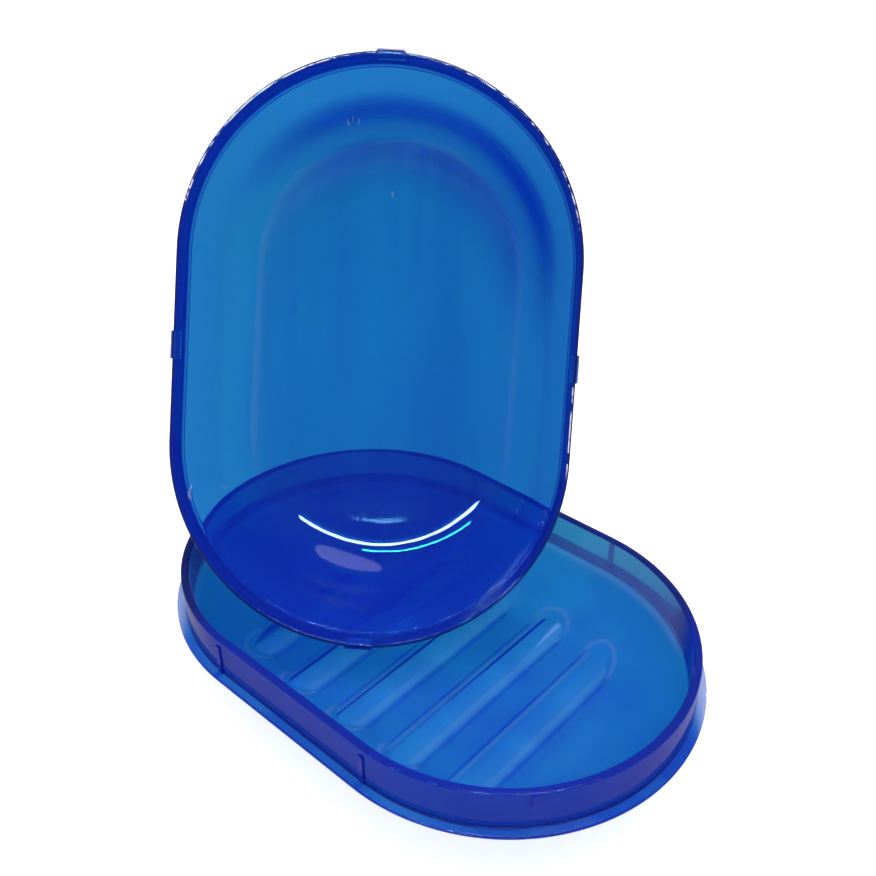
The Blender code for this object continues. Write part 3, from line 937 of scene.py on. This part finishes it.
def pale_floor():
    """A large plain floor, a hair under the tray, white to the camera and through the plastic."""
    bpy.ops.mesh.primitive_plane_add(size=FLOOR_SIZE, location=(0.0, 0.0, -FLOOR_DROP))
    floor = bpy.context.object
    floor.name = "floor"
    material = bpy.data.materials.new("floor")
    material.use_nodes = True
    tree = material.node_tree
    shader = tree.nodes["Principled BSDF"]
    shader.inputs["Base Color"].default_value = FLOOR_COLOUR
    shader.inputs["Roughness"].default_value = FLOOR_ROUGHNESS
    shader.inputs["Specular IOR Level"].default_value = 0.0
    shader.inputs["Emission Color"].default_value = FLOOR_GLOW
    tree.links.new(seen_by(tree, "Is Camera Ray"), shader.inputs["Emission Strength"])
    white = plain_shader(tree, "ShaderNodeEmission", WHITE)
    share = product(tree, seen_by(tree, "Is Transmission Ray"), FLOOR_THROUGH)
    shown = mixed(tree, share, shader.outputs["BSDF"], white)
    tree.links.new(shown, tree.nodes["Material Output"].inputs["Surface"])
    floor.data.materials.append(material)


def studio_world():
    """White behind everything, a dimmer room above in reflections, and an even soft light."""
    world = bpy.data.worlds.new("studio")
    bpy.context.scene.world = world
    world.use_nodes = True
    tree = world.node_tree
    back = tree.nodes["Background"]
    back.inputs["Color"].default_value = WHITE
    direction = tree.nodes.new("ShaderNodeTexCoord")
    split = tree.nodes.new("ShaderNodeSeparateXYZ")
    tree.links.new(direction.outputs["Generated"], split.inputs[0])
    room = tree.nodes.new("ShaderNodeMapRange")
    room.inputs["From Min"].default_value, room.inputs["From Max"].default_value = ROOM_RUN
    room.inputs["To Min"].default_value, room.inputs["To Max"].default_value = ROOM_STRENGTHS
    tree.links.new(split.outputs["Z"], room.inputs["Value"])
    reflected = chosen(tree, seen_by(tree, "Is Glossy Ray"), 1.0, room.outputs["Result"])
    seen = chosen(tree, seen_by(tree, "Is Camera Ray", "Is Transmission Ray"), reflected, 1.0)
    tree.links.new(seen, back.inputs["Strength"])


def direction_of(azimuth, elevation):
    """The direction at this azimuth, turning from -Y towards +X, and at this elevation."""
    level = math.cos(elevation)
    return Vector((math.sin(azimuth) * level, -math.cos(azimuth) * level, math.sin(elevation)))


def area_lamp(name, azimuth, elevation, away, size, power, colour, roll=0.0):
    """A rectangular lamp aimed at the object, with its place and roll in degrees."""
    light = bpy.data.lights.new(name, "AREA")
    light.shape = "RECTANGLE"
    light.size, light.size_y = size
    light.energy = power
    light.color = colour
    lamp = bpy.data.objects.new(name, light)
    back = direction_of(math.radians(azimuth), math.radians(elevation))
    right = Vector((0.0, 0.0, 1.0)).cross(back).normalized()
    turn = Matrix((right, back.cross(right), back)).transposed().to_4x4()
    turn = turn @ Matrix.Rotation(math.radians(roll), 4, "Z")
    lamp.matrix_world = Matrix.Translation(LAMP_AIM + back * away) @ turn
    bpy.context.scene.collection.objects.link(lamp)
    return lamp


def studio_lamps():
    """A broad soft lamp overhead, and three narrow ones that only show as reflections."""
    soft = area_lamp(
        "soft_lamp", azimuth=150.0, elevation=80.0, away=0.8, size=(0.55, 0.42), power=4.0,
        colour=(1.0, 0.66, 0.8),
    )
    soft.data.shape = "ELLIPSE"
    bar = area_lamp(
        "bar_lamp", azimuth=26.0, elevation=53.0, away=0.62, size=(0.8, 0.045), power=11.0,
        colour=(1.0, 1.0, 1.0), roll=14.0,
    )
    echo = area_lamp(
        "echo_lamp", azimuth=-5.0, elevation=59.5, away=0.62, size=(0.5, 0.014), power=6.5,
        colour=(0.05, 0.75, 1.0), roll=36.0,
    )
    strip = area_lamp(
        "strip_lamp", azimuth=37.5, elevation=19.0, away=1.5, size=(0.2, 0.004), power=0.15,
        colour=(0.5, 0.9, 1.0),
    )
    for lamp in (bar, echo, strip):
        lamp.visible_diffuse = False


# The camera, measured from the middle of the tray's rim
CAMERA_AZIMUTH = math.radians(42.2)
CAMERA_ELEVATION = math.radians(32.86)
CAMERA_ROLL = math.radians(-0.37)
CAMERA_DISTANCE = 200.0 * MM
CAMERA_RIGHT = 1.97 * MM
CAMERA_UP = 29.22 * MM
FOCAL_PIXELS = 1011.1
IMAGE_PIXELS = 876
SENSOR = 36.0
CLIP_START = 10.0 * MM


def place_camera():
    """The photograph's camera."""
    back = direction_of(CAMERA_AZIMUTH, CAMERA_ELEVATION)
    right = Vector((0.0, 0.0, 1.0)).cross(back).normalized()
    up = back.cross(right)
    rolled_right = right * math.cos(CAMERA_ROLL) + up * math.sin(CAMERA_ROLL)
    rolled_up = up * math.cos(CAMERA_ROLL) - right * math.sin(CAMERA_ROLL)
    eye = TRAY_MIDDLE + Vector((0.0, 0.0, RIM_HEIGHT)) + back * CAMERA_DISTANCE
    eye += rolled_right * CAMERA_RIGHT + rolled_up * CAMERA_UP
    lens = bpy.data.cameras.new("camera")
    lens.sensor_width = SENSOR
    lens.lens = FOCAL_PIXELS / IMAGE_PIXELS * SENSOR
    lens.clip_start = CLIP_START
    camera = bpy.data.objects.new("camera", lens)
    turn = Matrix((rolled_right, rolled_up, back)).transposed().to_4x4()
    camera.matrix_world = Matrix.Translation(eye) @ turn
    bpy.context.scene.collection.objects.link(camera)
    bpy.context.scene.camera = camera


place_camera()
tray = build_tray()
tray.data.materials.append(blue_plastic("tray_plastic", tray_pattern))
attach(tray, "base")
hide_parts("base_tray")
lid = build_lid()
lid.data.materials.append(blue_plastic("lid_plastic", lid_pattern))
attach(lid, "lid")
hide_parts("lid")
pale_floor()
studio_world()
studio_lamps()
bpy.context.scene.view_settings.view_transform = "Standard"
